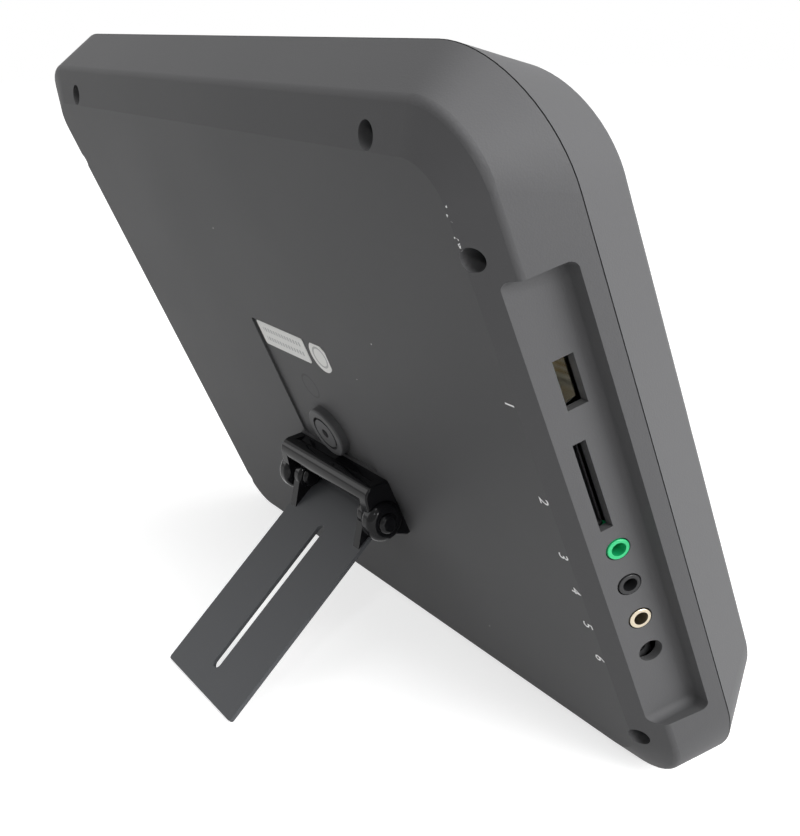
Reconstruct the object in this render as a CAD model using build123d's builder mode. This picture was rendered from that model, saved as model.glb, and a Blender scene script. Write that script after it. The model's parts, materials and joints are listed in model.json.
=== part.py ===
from build123d import *
from math import atan2, cos, degrees, radians, sin, tan
import os

os.makedirs("parts", exist_ok=True)

# The frame is modelled lying on its screen's axis: x across, y up the back, z from the back to the front.
# The back plane is z = 0. At the end every piece is stood up on its lower wall and its leg.

# Stance
lean = 23.5
leg_angle = 70.5
foot_thick = 0.5

# Rear housing
back_width = 221.0
back_height = 178.0
back_corner = 10.0
band_width = 10.5
band_drop = 4.8
band_corner = 18.0
side_depth = 14.8
seam_corner = 30.5
seam_top_trim = 1.4
wall = 2.2
edge_round = 2.5

# Front bezel
seam_gap = 0.3
bezel_depth = 18.0
bezel_side_inset = 6.8
bezel_end_inset = 13.5
bezel_corner = 24.0
bezel_round = 3.0
window_side_lap = 6.0
window_end_lap = 8.5
window_bevel = 1.6

# Port bay in the housing's side
bay_step = 5.5
bay_draft = 18.0
bay_floor = 15.7
bay_low = -72.0
bay_high = 61.5
bay_round = 2.2
bay_lip_round = 6.0
port_gap = 0.2

# Housing screws
well_radius = 2.9
well_depth = 13.0
well_wall = 1.8
well_floor = 2.4
well_corner_inset = 22.5
well_end_offset = 3.0
well_side_offset = 1.8
well_upper_drop = 22.0
well_lower_rise = 9.8
screw_radius = 1.4
screw_head_radius = 2.5
screw_head_height = 1.8
screw_length = 10.0
post_radius = 3.4
drive_width = 0.8
drive_depth = 1.0

# Main board
board_thick = 1.6
board_stand = 2.6
board_width = 88.0
board_low = -64.0
board_high = 50.0
board_edge_gap = 0.4
board_hole_inset = 5.0
standoff_radius = 3.0
small_screw_radius = 1.1
small_head_radius = 2.2
small_head_height = 1.4
small_screw_length = 3.6

# Sockets, by their place along the bay
usb_y = 32.6
usb_z = 10.2
usb_width = 13.1
usb_height = 5.7
usb_length = 14.0
usb_wall = 0.3
usb_opening_width = 13.0
usb_opening_height = 4.8
tongue_width = 11.1
tongue_thick = 1.9
tongue_length = 9.0
card_y = 4.55
card_slot_width = 25.6
card_slot_height = 3.1
card_socket_length = 27.0
card_socket_wall = 0.8
jack_first_y = -15.2
jack_pitch = 11.5
jack_z = 9.0
jack_body_width = 8.0
jack_body_length = 12.0
jack_body_height = 5.4
jack_collar_radius = 2.75
jack_collar_rise = 0.3
jack_bore_radius = 1.8
jack_bore_depth = 14.0
jack_clearance = 0.3
dc_bore_radius = 2.05
dc_bore_depth = 9.0
dc_pin_radius = 0.8

# Parts on the board
processor_side = 20.0
processor_thick = 1.6
memory_width = 12.0
memory_height = 8.0
memory_thick = 1.1
capacitor_radius = 3.0
capacitor_height = 7.0
capacitor_pitch = 9.0
socket_width = 22.0
socket_depth = 5.0
socket_thick = 1.8
cable_width = 20.0
cable_thick = 0.3
cable_tab = 14.0

# Inverter board
inverter_width = 96.0
inverter_height = 14.0
inverter_x = 30.0
inverter_rise = 13.0
transformer_length = 26.0
transformer_height = 8.0

# Display
display_side_gap = 3.9
display_end_gap = 5.6
tray_thick = 5.6
tray_wall = 0.8
glass_thick = 1.4
glass_margin = 0.4
gasket_thick = 1.0
gasket_clear = 0.8
front_wall = 2.4
strap_thick = 1.0
strap_length = 132.0
strap_grip = 6.0
strap_post_x = 58.0
strap_post_gap = 1.6

# Speakers
speaker_length = 32.0
speaker_width = 15.0
speaker_depth = 4.5
speaker_magnet_radius = 6.0
speaker_magnet_depth = 3.5
speaker_step = 1.5
speaker_y = 28.0
speaker_lift = 5.2
sound_slots = 5
sound_slot_pitch = 4.2
sound_slot_width = 1.6
sound_slot_length = 9.0

# Infrared window
window_ir_inset = 10.0
window_ir_gap = 0.5
window_ir_flange = 0.8
window_ir_width = 9.0
window_ir_height = 4.0
receiver_depth = 5.0
receiver_width = 6.0

# Recess on the back, plug and stickers
recess_width = 44.0
recess_top = 22.0
recess_low = -23.9
recess_depth = 0.8
plug_y = -15.1
plug_radius = 8.6
plug_rise = 2.0
plug_ring_radius = 6.0
plug_ring_width = 0.9
plug_hole_radius = 1.6
plug_stem_radius = 3.2
sticker_thick = 0.15
sticker_x = 6.3
sticker_y = 16.6
sticker_width = 28.6
sticker_height = 9.0
sticker_corner = 1.0
badge_x = -15.8
badge_radius = 5.3

# Stand
hinge_y = -36.0
hinge_rise = 6.6
leg_width = 44.0
leg_thick = 1.3
leg_seat = 3.4
leg_start = -4.2
leg_corner = 1.0
slot_width = 3.7
slot_start = 11.0
slot_end_margin = 8.0
knuckle_radius = 4.4
knuckle_width = 4.6
knuckle_round = 1.4
gusset_reach = 11.0
ear_gap = 0.6
ear_width = 6.2
ear_radius = 6.4
ear_foot_low = -46.0
ear_foot_thick = 1.2
ear_round = 0.6
ear_web_radius = 4.5
ball_step = 2.4
ball_round = 2.3
bar_y = -27.4
bar_rise = 5.5
bar_radius = 3.7
bar_foot = 4.6
stop_height = 1.5
stop_width = 1.8
stop_gap = 0.1
pin_radius = 1.6
pin_head_radius = 3.2
pin_head_height = 1.5
pin_play = 0.05
pin_end_gap = 0.3
washer_radius = 4.0
washer_thick = 0.5
bracket_screw_x = 20.0

# Worked out from the sizes above
bay_edge = back_width / 2 + bay_step
speaker_x = back_width / 2 + speaker_step
bracket_screw_places = [(-bracket_screw_x, bar_y), (bracket_screw_x, bar_y)]
seam_z = band_drop + side_depth
side_flare = side_depth * tan(radians(lean))
band_slope = degrees(atan2(band_drop, band_width))
seam_width = back_width + 2 * (band_width + side_flare)
seam_height = back_height + 2 * (band_width + side_flare) - seam_top_trim
seam_shift = -seam_top_trim / 2
side_wall = wall / cos(radians(lean))
bezel_z = seam_z + seam_gap
front_z = bezel_z + bezel_depth
front_width = seam_width - 2 * bezel_side_inset
front_height = seam_height - 2 * bezel_end_inset
boss_end = well_depth + well_floor
screw_top_x = back_width / 2 - well_corner_inset
screw_top_y = back_height / 2 + well_end_offset
screw_side_x = back_width / 2 + well_side_offset
screw_upper_y = back_height / 2 - well_upper_drop
screw_lower_y = well_lower_rise - back_height / 2
display_width = 2 * (screw_side_x - post_radius - display_side_gap)
display_height = 2 * (screw_top_y - post_radius - display_end_gap)
window_width = display_width - 2 * window_side_lap
window_height = display_height - 2 * window_end_lap
window_ir_x = screw_top_x - window_ir_inset
window_ir_y = -(display_height / 2 + window_ir_gap + receiver_width / 2)
inverter_y = inverter_rise - back_height / 2
board_z = wall + board_stand
board_face = board_z + board_thick
face_in = front_z - front_wall
glass_z = face_in - gasket_thick - glass_thick
strap_post_y = display_height / 2 + strap_post_gap + post_radius
strap_places = [(side * strap_post_x, end * strap_post_y) for side in (-1, 1) for end in (-1, 1)]
tray_z = glass_z - tray_thick
jack_ys = [jack_first_y - jack_pitch * place for place in range(4)]
screw_places = [
    (side * x, y)
    for side in (-1, 1)
    for x, y in (
        (screw_top_x, screw_top_y),
        (screw_side_x, screw_upper_y),
        (screw_side_x, screw_lower_y),
        (screw_top_x, -screw_top_y),
    )
]


def bay_wall_x(z):
    """Distance of the bay's port wall from the centre plane, at depth z."""
    edge_z = bay_step * tan(radians(band_slope))
    return bay_edge + (z - edge_z) * tan(radians(bay_draft))


def inner_corner(first, second):
    """How far a wall's inner corner lies in from, and in front of, its outer corner, between two slopes."""
    middle = radians((first + second) / 2)
    reach = wall / cos(radians((second - first) / 2))
    return reach * sin(middle), reach * cos(middle)


def outline(width, height, corner, z, shift=0.0):
    """One rounded section of a shell, at depth z and moved up by shift."""
    with BuildSketch(Plane.XY.offset(z)) as section:
        with Locations((0, shift)):
            RectangleRounded(width, height, corner)
    return section.sketch


def port_plane(x, y=0.0, z=0.0):
    """A plane facing out of the port side: its own x runs up the back and its own y to the front."""
    return Plane(origin=(-x, y, z), x_dir=(0, 1, 0), z_dir=(-1, 0, 0))


# Inside of the rear housing: the hollow, less the bay's walls, the screw wells and the standoffs
band_in, band_down = inner_corner(band_slope, 90 - lean)
flat_in, flat_down = inner_corner(0, band_slope)
bay_in = wall / cos(radians(bay_draft))
board_x = -(bay_wall_x(board_z) - bay_in - board_edge_gap)
board_centre = (board_x + board_width / 2, (board_low + board_high) / 2)
board_height = board_high - board_low
board_holes = GridLocations(board_width - 2 * board_hole_inset, board_height - 2 * board_hole_inset, 2, 2)
board_hole_places = [
    (board_centre[0] + spot.position.X, board_centre[1] + spot.position.Y) for spot in board_holes.locations
]
inverter_hole_places = [
    (inverter_x + side * (inverter_width / 2 - board_hole_inset), inverter_y) for side in (-1, 1)
]

with BuildPart() as hollow:
    loft(
        [
            outline(back_width - 2 * flat_in, back_height - 2 * flat_in, back_corner, flat_down),
            outline(
                back_width + 2 * (band_width - band_in),
                back_height + 2 * (band_width - band_in),
                band_corner - band_in,
                band_drop + band_down,
            ),
            outline(
                seam_width - 2 * side_wall,
                seam_height - 2 * side_wall,
                seam_corner - side_wall,
                seam_z,
                seam_shift,
            ),
        ],
        ruled=True,
    )
    with BuildSketch(Plane.XZ.offset(-bay_low + wall)):
        with BuildLine():
            Polyline(
                (-(bay_wall_x(0) - bay_in), 0),
                (-(bay_wall_x(bay_floor + wall) - bay_in), bay_floor + wall),
                (-seam_width, bay_floor + wall),
                (-seam_width, 0),
                close=True,
            )
        make_face()
    extrude(amount=-(bay_high - bay_low + 2 * wall), mode=Mode.SUBTRACT)
    with BuildSketch():
        with Locations(*screw_places):
            Circle(well_radius + well_wall)
    extrude(amount=boss_end, mode=Mode.SUBTRACT)
    with BuildSketch():
        with Locations(*board_hole_places, *inverter_hole_places):
            Circle(standoff_radius)
    extrude(amount=board_z, mode=Mode.SUBTRACT)
    with BuildSketch():
        with Locations((speaker_x, speaker_y), (speaker_x, -speaker_y)):
            Rectangle(speaker_depth, speaker_length)
    extrude(amount=speaker_lift, mode=Mode.SUBTRACT)

with BuildPart() as bay_space:
    with BuildSketch(Plane.XZ.offset(-bay_low)):
        with BuildLine():
            Polyline(
                (-bay_wall_x(-wall), -wall),
                (-bay_wall_x(bay_floor), bay_floor),
                (-seam_width, bay_floor),
                (-seam_width, -wall),
                close=True,
            )
        make_face()
    extrude(amount=-(bay_high - bay_low))
    fillet(
        bay_space.edges().filter_by(
            lambda edge: edge.center().Z > 0 and edge.center().X > bay_round - seam_width
        ),
        bay_round,
    )

with BuildPart() as rear_housing:
    loft(
        [
            outline(back_width, back_height, back_corner, 0),
            outline(back_width + 2 * band_width, back_height + 2 * band_width, band_corner, band_drop),
            outline(seam_width, seam_height, seam_corner, seam_z, seam_shift),
        ],
        ruled=True,
    )
    shoulder = rear_housing.edges().group_by(Axis.Z)[2]
    fillet(shoulder, edge_round)
    add(hollow.part, mode=Mode.SUBTRACT)
    add(bay_space.part, mode=Mode.SUBTRACT)
    lip = (-bay_edge, (bay_low + bay_high) / 2, bay_step * tan(radians(band_slope)))
    fillet(rear_housing.edges().filter_by(Axis.Y).sort_by_distance(lip)[0], bay_lip_round)
    with BuildSketch(Plane.XY.offset(-wall)):
        with Locations(*screw_places):
            Circle(well_radius)
    extrude(amount=well_depth + wall, mode=Mode.SUBTRACT)
    with BuildSketch():
        with Locations(*screw_places):
            Circle(screw_radius + port_gap)
    extrude(amount=boss_end + wall, mode=Mode.SUBTRACT)
    with BuildSketch(Plane.XY.offset(board_z)):
        with Locations(*board_hole_places, *inverter_hole_places):
            Circle(small_screw_radius)
    extrude(amount=-(small_screw_length - board_thick), mode=Mode.SUBTRACT)
    with BuildSketch():
        with Locations((0, (recess_top + recess_low) / 2)):
            RectangleRounded(recess_width, recess_top - recess_low, sticker_corner)
    extrude(amount=recess_depth, mode=Mode.SUBTRACT)
    with BuildSketch():
        with Locations((0, plug_y)):
            Circle(plug_stem_radius)
        with Locations(*bracket_screw_places):
            Circle(small_screw_radius + port_gap)
    extrude(amount=wall, mode=Mode.SUBTRACT)
    with BuildSketch(port_plane(bay_edge - usb_length, usb_y, usb_z)):
        Rectangle(usb_opening_width, usb_opening_height)
    extrude(amount=seam_width, mode=Mode.SUBTRACT)
    with BuildSketch(port_plane(bay_edge - usb_length, card_y, board_face + card_slot_height / 2)):
        Rectangle(card_slot_width, card_slot_height)
    extrude(amount=seam_width, mode=Mode.SUBTRACT)
    with BuildSketch(port_plane(bay_edge - usb_length, 0, jack_z)):
        with Locations(*[(y, 0) for y in jack_ys]):
            Circle(jack_collar_radius + jack_clearance)
    extrude(amount=seam_width, mode=Mode.SUBTRACT)
    with BuildSketch(Plane.YZ.offset(speaker_x)):
        for side in (-1, 1):
            with Locations((side * speaker_y, speaker_lift + speaker_width / 2)):
                with GridLocations(sound_slot_pitch, 0, sound_slots, 1):
                    SlotOverall(sound_slot_length, sound_slot_width, rotation=90)
    extrude(amount=seam_width, mode=Mode.SUBTRACT)

# Front bezel, with its window, the posts that take the housing screws and those that hold the display
with BuildPart() as bezel_body:
    loft(
        [
            outline(seam_width, seam_height, seam_corner, bezel_z, seam_shift),
            outline(front_width, front_height, bezel_corner, front_z, seam_shift),
        ],
        ruled=True,
    )
    fillet(bezel_body.faces().sort_by(Axis.Z)[-1].edges(), bezel_round)

with BuildPart() as bezel_posts:
    with BuildSketch(Plane.XY.offset(bezel_z)):
        with Locations(*screw_places):
            Circle(post_radius)
    extrude(amount=face_in - bezel_z)
    with BuildSketch(Plane.XY.offset(tray_z)):
        with Locations(*strap_places):
            Circle(post_radius)
    extrude(amount=face_in - tray_z)
    add(bezel_body.part, mode=Mode.INTERSECT)

with BuildPart() as front_bezel:
    add(bezel_body.part)
    loft(
        [
            outline(
                seam_width - 2 * side_wall,
                seam_height - 2 * side_wall,
                seam_corner - side_wall,
                bezel_z,
                seam_shift,
            ),
            outline(
                front_width - 2 * side_wall,
                front_height - 2 * side_wall,
                bezel_corner - side_wall,
                face_in,
                seam_shift,
            ),
        ],
        ruled=True,
        mode=Mode.SUBTRACT,
    )
    add(bezel_posts.part)
    with BuildSketch(Plane.XY.offset(boss_end)):
        with Locations(*screw_places):
            Circle(post_radius)
    extrude(amount=bezel_z - boss_end)
    with BuildSketch(Plane.XY.offset(boss_end)):
        with Locations(*screw_places):
            Circle(screw_radius)
    extrude(amount=screw_length, mode=Mode.SUBTRACT)
    with BuildSketch(Plane.XY.offset(tray_z)):
        with Locations(*strap_places):
            Circle(small_screw_radius)
    extrude(amount=small_screw_length, mode=Mode.SUBTRACT)
    with BuildSketch(Plane.XY.offset(face_in)):
        Rectangle(window_width, window_height)
        with Locations((window_ir_x, window_ir_y)):
            Rectangle(window_ir_width, window_ir_height)
    extrude(amount=front_wall, mode=Mode.SUBTRACT)
    rim = front_bezel.faces().sort_by(Axis.Z)[-1].inner_wires().sort_by(SortBy.LENGTH)[-1]
    chamfer(rim.edges(), window_bevel)

with BuildPart() as infrared_window:
    with BuildSketch(Plane.XY.offset(face_in)):
        with Locations((window_ir_x, window_ir_y)):
            Rectangle(window_ir_width - port_gap, window_ir_height - port_gap)
    extrude(amount=front_wall - port_gap)
    with BuildSketch(Plane.XY.offset(face_in)):
        with Locations((window_ir_x, window_ir_y)):
            Rectangle(window_ir_width + wall, window_ir_height + wall)
    extrude(amount=-window_ir_flange)

with BuildPart() as infrared_receiver:
    with BuildSketch(Plane.XY.offset(face_in - window_ir_flange)):
        with Locations((window_ir_x, window_ir_y)):
            Rectangle(receiver_width, receiver_width)
    extrude(amount=-receiver_depth)

# Display: a metal tray holding the backlight, the glass on it, and a gasket against the bezel
tray_inner = display_width - 2 * tray_wall, display_height - 2 * tray_wall
with BuildPart() as display_tray:
    with BuildSketch(Plane.XY.offset(tray_z)):
        Rectangle(display_width, display_height)
    extrude(amount=tray_thick + glass_thick)
    with BuildSketch(Plane.XY.offset(tray_z + tray_wall)):
        Rectangle(*tray_inner)
    extrude(amount=tray_thick + glass_thick, mode=Mode.SUBTRACT)

with BuildPart() as backlight:
    with BuildSketch(Plane.XY.offset(tray_z + tray_wall)):
        Rectangle(*tray_inner)
    extrude(amount=tray_thick - tray_wall)

with BuildPart() as display_glass:
    with BuildSketch(Plane.XY.offset(glass_z)):
        Rectangle(tray_inner[0] - 2 * glass_margin, tray_inner[1] - 2 * glass_margin)
    extrude(amount=glass_thick)

with BuildPart() as display_gasket:
    with BuildSketch(Plane.XY.offset(face_in)):
        Rectangle(*tray_inner)
        Rectangle(window_width + 2 * gasket_clear, window_height + 2 * gasket_clear, mode=Mode.SUBTRACT)
    extrude(amount=-gasket_thick)

strap_low = display_height / 2 - strap_grip
strap_high = strap_post_y + post_radius
with BuildPart() as display_straps:
    with BuildSketch(Plane.XY.offset(tray_z)):
        for end in (-1, 1):
            with Locations((0, end * (strap_low + strap_high) / 2)):
                RectangleRounded(strap_length, strap_high - strap_low, strap_grip / 2)
        with Locations(*strap_places):
            Circle(small_screw_radius, mode=Mode.SUBTRACT)
    extrude(amount=-strap_thick)


def small_screws(places, seat, up):
    """Small pan-head screws whose heads sit at depth seat, with their shanks running the way up says."""
    with BuildPart() as screws:
        with BuildSketch(Plane.XY.offset(seat)):
            with Locations(*places):
                Circle(small_head_radius)
        extrude(amount=-up * small_head_height)
        fillet(screws.faces().filter_by(GeomType.CYLINDER).edges().group_by(Axis.Z)[0 if up > 0 else -1],
               small_head_height / 2)
        with BuildSketch(Plane.XY.offset(seat)):
            with Locations(*places):
                Circle(small_screw_radius)
        extrude(amount=up * small_screw_length)
    return screws


display_screws = small_screws(strap_places, tray_z - strap_thick, 1)
board_screws = small_screws(board_hole_places + inverter_hole_places, board_face, -1)

# Housing screws, their cross recess facing the wells
with BuildPart() as housing_screws:
    with BuildSketch(Plane.XY.offset(well_depth)):
        with Locations(*screw_places):
            Circle(screw_head_radius)
    extrude(amount=-screw_head_height)
    fillet(housing_screws.edges().group_by(Axis.Z)[0], screw_head_height / 2)
    with BuildSketch(Plane.XY.offset(well_depth)):
        with Locations(*screw_places):
            Circle(screw_radius)
    extrude(amount=screw_length)
    with BuildSketch(Plane.XY.offset(well_depth - screw_head_height)):
        with Locations(*screw_places):
            Rectangle(2 * screw_radius, drive_width)
            Rectangle(drive_width, 2 * screw_radius)
    extrude(amount=drive_depth, mode=Mode.SUBTRACT)

# Main board and what stands on it
with BuildPart() as main_board:
    with BuildSketch(Plane.XY.offset(board_z)):
        with Locations(board_centre):
            RectangleRounded(board_width, board_height, board_edge_gap)
        with Locations(*board_hole_places):
            Circle(small_screw_radius, mode=Mode.SUBTRACT)
    extrude(amount=board_thick)

socket_front = bay_wall_x(board_face) - bay_in - board_edge_gap
usb_front = bay_wall_x(usb_z - usb_height / 2) - bay_in - port_gap
with BuildPart() as usb_shell:
    with BuildSketch(port_plane(usb_front, usb_y, usb_z)):
        RectangleRounded(usb_width, usb_height, 2 * usb_wall)
    extrude(amount=-usb_length)
    with BuildSketch(port_plane(usb_front, usb_y, usb_z)):
        Rectangle(usb_width - 2 * usb_wall, usb_height - 2 * usb_wall)
    extrude(amount=-(usb_length - usb_wall), mode=Mode.SUBTRACT)
    with BuildSketch(Plane.XY.offset(board_face)):
        with Locations((usb_length / 2 - usb_front, usb_y)):
            with GridLocations(0, usb_width - 4 * usb_wall, 1, 2):
                Rectangle(usb_length / 2, 2 * usb_wall)
    extrude(amount=usb_z - usb_height / 2 + usb_wall - board_face)

tongue_z = usb_z - usb_height / 2 + 2 * usb_wall + tongue_thick / 2
tongue_back = usb_front - usb_length + usb_wall
with BuildPart() as usb_tongue:
    with BuildSketch(port_plane(tongue_back, usb_y, usb_z)):
        Rectangle(usb_width - 2 * usb_wall, usb_height - 2 * usb_wall)
    extrude(amount=usb_length - tongue_length - usb_wall - tongue_thick)
    with BuildSketch(port_plane(tongue_back, usb_y, tongue_z)):
        Rectangle(tongue_width, tongue_thick)
    extrude(amount=usb_length - tongue_thick)

with BuildPart() as card_socket:
    card_plane = port_plane(socket_front, card_y, board_face + card_slot_height / 2)
    with BuildSketch(card_plane):
        Rectangle(card_slot_width + 2 * card_socket_wall, card_slot_height)
    extrude(amount=-card_socket_length)
    with BuildSketch(card_plane):
        Rectangle(card_slot_width - card_socket_wall, card_slot_height - card_socket_wall)
    extrude(amount=-(card_socket_length - 2 * card_socket_wall), mode=Mode.SUBTRACT)


def jack(y):
    """A jack socket: its body on the board, and its collar through the bay's wall."""
    collar_end = bay_wall_x(jack_z + jack_collar_radius) + jack_collar_rise
    with BuildPart() as made:
        with BuildSketch(port_plane(socket_front, y, board_face + jack_body_height / 2)):
            Rectangle(jack_body_width, jack_body_height)
        extrude(amount=-jack_body_length)
        with BuildSketch(port_plane(socket_front, y, jack_z)):
            Circle(jack_collar_radius)
        extrude(amount=collar_end - socket_front)
        with BuildSketch(Plane.XZ.offset(-y)):
            with BuildLine():
                Polyline(
                    (-(bay_wall_x(0) + jack_collar_rise), 0),
                    (-(bay_wall_x(bay_floor) + jack_collar_rise), bay_floor),
                    (-seam_width, bay_floor),
                    (-seam_width, 0),
                    close=True,
                )
            make_face()
        extrude(amount=jack_pitch / 2, both=True, mode=Mode.SUBTRACT)
        fillet(made.faces().sort_by(Axis.X)[0].edges(), (jack_collar_radius - jack_bore_radius) / 4)
        with BuildSketch(port_plane(collar_end, y, jack_z)):
            Circle(jack_bore_radius)
        extrude(amount=-jack_bore_depth, mode=Mode.SUBTRACT)
    return made


green_jack = jack(jack_ys[0])
black_jack = jack(jack_ys[1])
metal_jack = jack(jack_ys[2])

with BuildPart() as power_inlet:
    with BuildSketch(port_plane(socket_front, jack_ys[3], board_face + jack_body_height / 2)):
        Rectangle(jack_body_width, jack_body_height)
    extrude(amount=-jack_body_length)
    with BuildSketch(port_plane(socket_front, jack_ys[3], jack_z)):
        Circle(dc_bore_radius)
    extrude(amount=-dc_bore_depth, mode=Mode.SUBTRACT)

with BuildPart() as power_pin:
    with BuildSketch(port_plane(socket_front - dc_bore_depth, jack_ys[3], jack_z)):
        Circle(dc_pin_radius)
    extrude(amount=dc_bore_depth - dc_pin_radius)
    fillet(power_pin.edges().group_by(Axis.X)[0], dc_pin_radius / 2)

chip_x = board_centre[0] + board_hole_inset
with BuildPart() as processor:
    with BuildSketch(Plane.XY.offset(board_face)):
        with Locations((chip_x, board_centre[1] - processor_side)):
            Rectangle(processor_side, processor_side)
    extrude(amount=processor_thick)
    chamfer(processor.edges().group_by(Axis.Z)[-1], processor_thick / 8)

with BuildPart() as memory_chips:
    with BuildSketch(Plane.XY.offset(board_face)):
        with Locations((chip_x, board_centre[1] + memory_height)):
            with GridLocations(2 * memory_width, 0, 2, 1):
                Rectangle(memory_width, memory_height)
    extrude(amount=memory_thick)

with BuildPart() as capacitors:
    with BuildSketch(Plane.XY.offset(board_face)):
        with Locations((chip_x - 1.5 * processor_side, board_centre[1] - 1.5 * processor_side)):
            with GridLocations(0, capacitor_pitch, 1, 3):
                Circle(capacitor_radius)
    extrude(amount=capacitor_height)
    fillet(capacitors.edges().group_by(Axis.Z)[-1], capacitor_radius / 6)

socket_place = (
    board_centre[0] + board_width / 2 - 2 * socket_depth,
    board_high - 2 * board_hole_inset - socket_width / 2,
)
with BuildPart() as panel_socket:
    with BuildSketch(Plane.XY.offset(board_face)):
        with Locations(socket_place):
            Rectangle(socket_depth, socket_width)
    extrude(amount=socket_thick)

with BuildPart() as flat_cable:
    with BuildSketch(Plane.XY.offset(board_face + socket_thick)):
        with Locations(socket_place):
            Rectangle(cable_thick, cable_width)
    extrude(amount=tray_z - board_face - socket_thick)
    with BuildSketch(Plane.XY.offset(tray_z)):
        with Locations((socket_place[0] + (cable_tab - cable_thick) / 2, socket_place[1])):
            Rectangle(cable_tab, cable_width)
    extrude(amount=-cable_thick)

with BuildPart() as inverter_board:
    with BuildSketch(Plane.XY.offset(board_z)):
        with Locations((inverter_x, inverter_y)):
            RectangleRounded(inverter_width, inverter_height, board_edge_gap)
        with Locations(*inverter_hole_places):
            Circle(small_screw_radius, mode=Mode.SUBTRACT)
    extrude(amount=board_thick)

with BuildPart() as transformer:
    with BuildSketch(Plane.XY.offset(board_face)):
        with Locations((inverter_x, inverter_y)):
            RectangleRounded(transformer_length, inverter_height - 2 * board_edge_gap, board_edge_gap)
    extrude(amount=transformer_height)

# Speakers behind the slots in the other side wall
speaker_z = speaker_lift + speaker_width / 2
with BuildPart() as speakers:
    with BuildSketch(Plane.YZ.offset(speaker_x - speaker_depth / 2)):
        with Locations((speaker_y, speaker_z), (-speaker_y, speaker_z)):
            RectangleRounded(speaker_length, speaker_width, speaker_depth / 2)
    extrude(amount=speaker_depth)

with BuildPart() as speaker_magnets:
    with BuildSketch(Plane.YZ.offset(speaker_x - speaker_depth / 2)):
        with Locations((speaker_y, speaker_z), (-speaker_y, speaker_z)):
            Circle(speaker_magnet_radius)
    extrude(amount=-speaker_magnet_depth)

# Plug and stickers in the recess of the back
with BuildPart() as round_plug:
    with BuildSketch(Plane.XY.offset(recess_depth)):
        with Locations((0, plug_y)):
            Circle(plug_radius)
    extrude(amount=-(recess_depth + plug_rise))
    fillet(round_plug.edges().group_by(Axis.Z)[0], plug_rise / 3)
    with BuildSketch(Plane.XY.offset(recess_depth)):
        with Locations((0, plug_y)):
            Circle(plug_stem_radius)
    extrude(amount=wall - recess_depth)
    with BuildSketch(Plane.XY.offset(-plug_rise)):
        with Locations((0, plug_y)):
            Circle(plug_ring_radius)
            Circle(plug_ring_radius - plug_ring_width, mode=Mode.SUBTRACT)
            Circle(plug_hole_radius)
    extrude(amount=plug_rise / 2, mode=Mode.SUBTRACT)

with BuildPart() as label_sticker:
    with BuildSketch(Plane.XY.offset(recess_depth)):
        with Locations((sticker_x, sticker_y)):
            RectangleRounded(sticker_width, sticker_height, sticker_corner)
    extrude(amount=-sticker_thick)

with BuildPart() as round_sticker:
    with BuildSketch(Plane.XY.offset(recess_depth)):
        with Locations((badge_x, sticker_y)):
            Circle(badge_radius)
    extrude(amount=-sticker_thick)

# Stand: the bracket's ears carry the pins, and the leg's knuckles turn on them
leg_turn = radians(leg_angle)
along = Vector(0, -cos(leg_turn), -sin(leg_turn))
over = Vector(0, sin(leg_turn), -cos(leg_turn))
plate_top = -leg_seat
plate_low = -leg_seat - leg_thick
ear_inner = leg_width / 2 + ear_gap
ear_outer = ear_inner + ear_width
ear_middle = ear_inner + ear_width / 2
knuckle_inner = leg_width / 2 - knuckle_width
pin_inner = knuckle_inner - pin_end_gap
lower_wall_z = band_drop * sin(radians(lean)) - (back_height / 2 + band_width) * cos(radians(lean))
lift = foot_thick - lower_wall_z
hinge_height = hinge_y * cos(radians(lean)) - hinge_rise * sin(radians(lean)) + lift
leg_slant = leg_turn - radians(lean)
leg_reach = (hinge_height + plate_low * sin(leg_slant)) / cos(leg_slant)
stop_reach = (hinge_rise - stop_height + plate_low * cos(leg_turn)) / sin(leg_turn)
stop_y = hinge_y + stop_reach * cos(leg_turn) + plate_low * sin(leg_turn) - stop_gap


def leg_section(x):
    """A plane across the hinge at x: its own x runs along the leg, its own y over the leg's upper face."""
    return Plane(origin=(x, hinge_y, -hinge_rise), x_dir=along, z_dir=(1, 0, 0))


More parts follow.
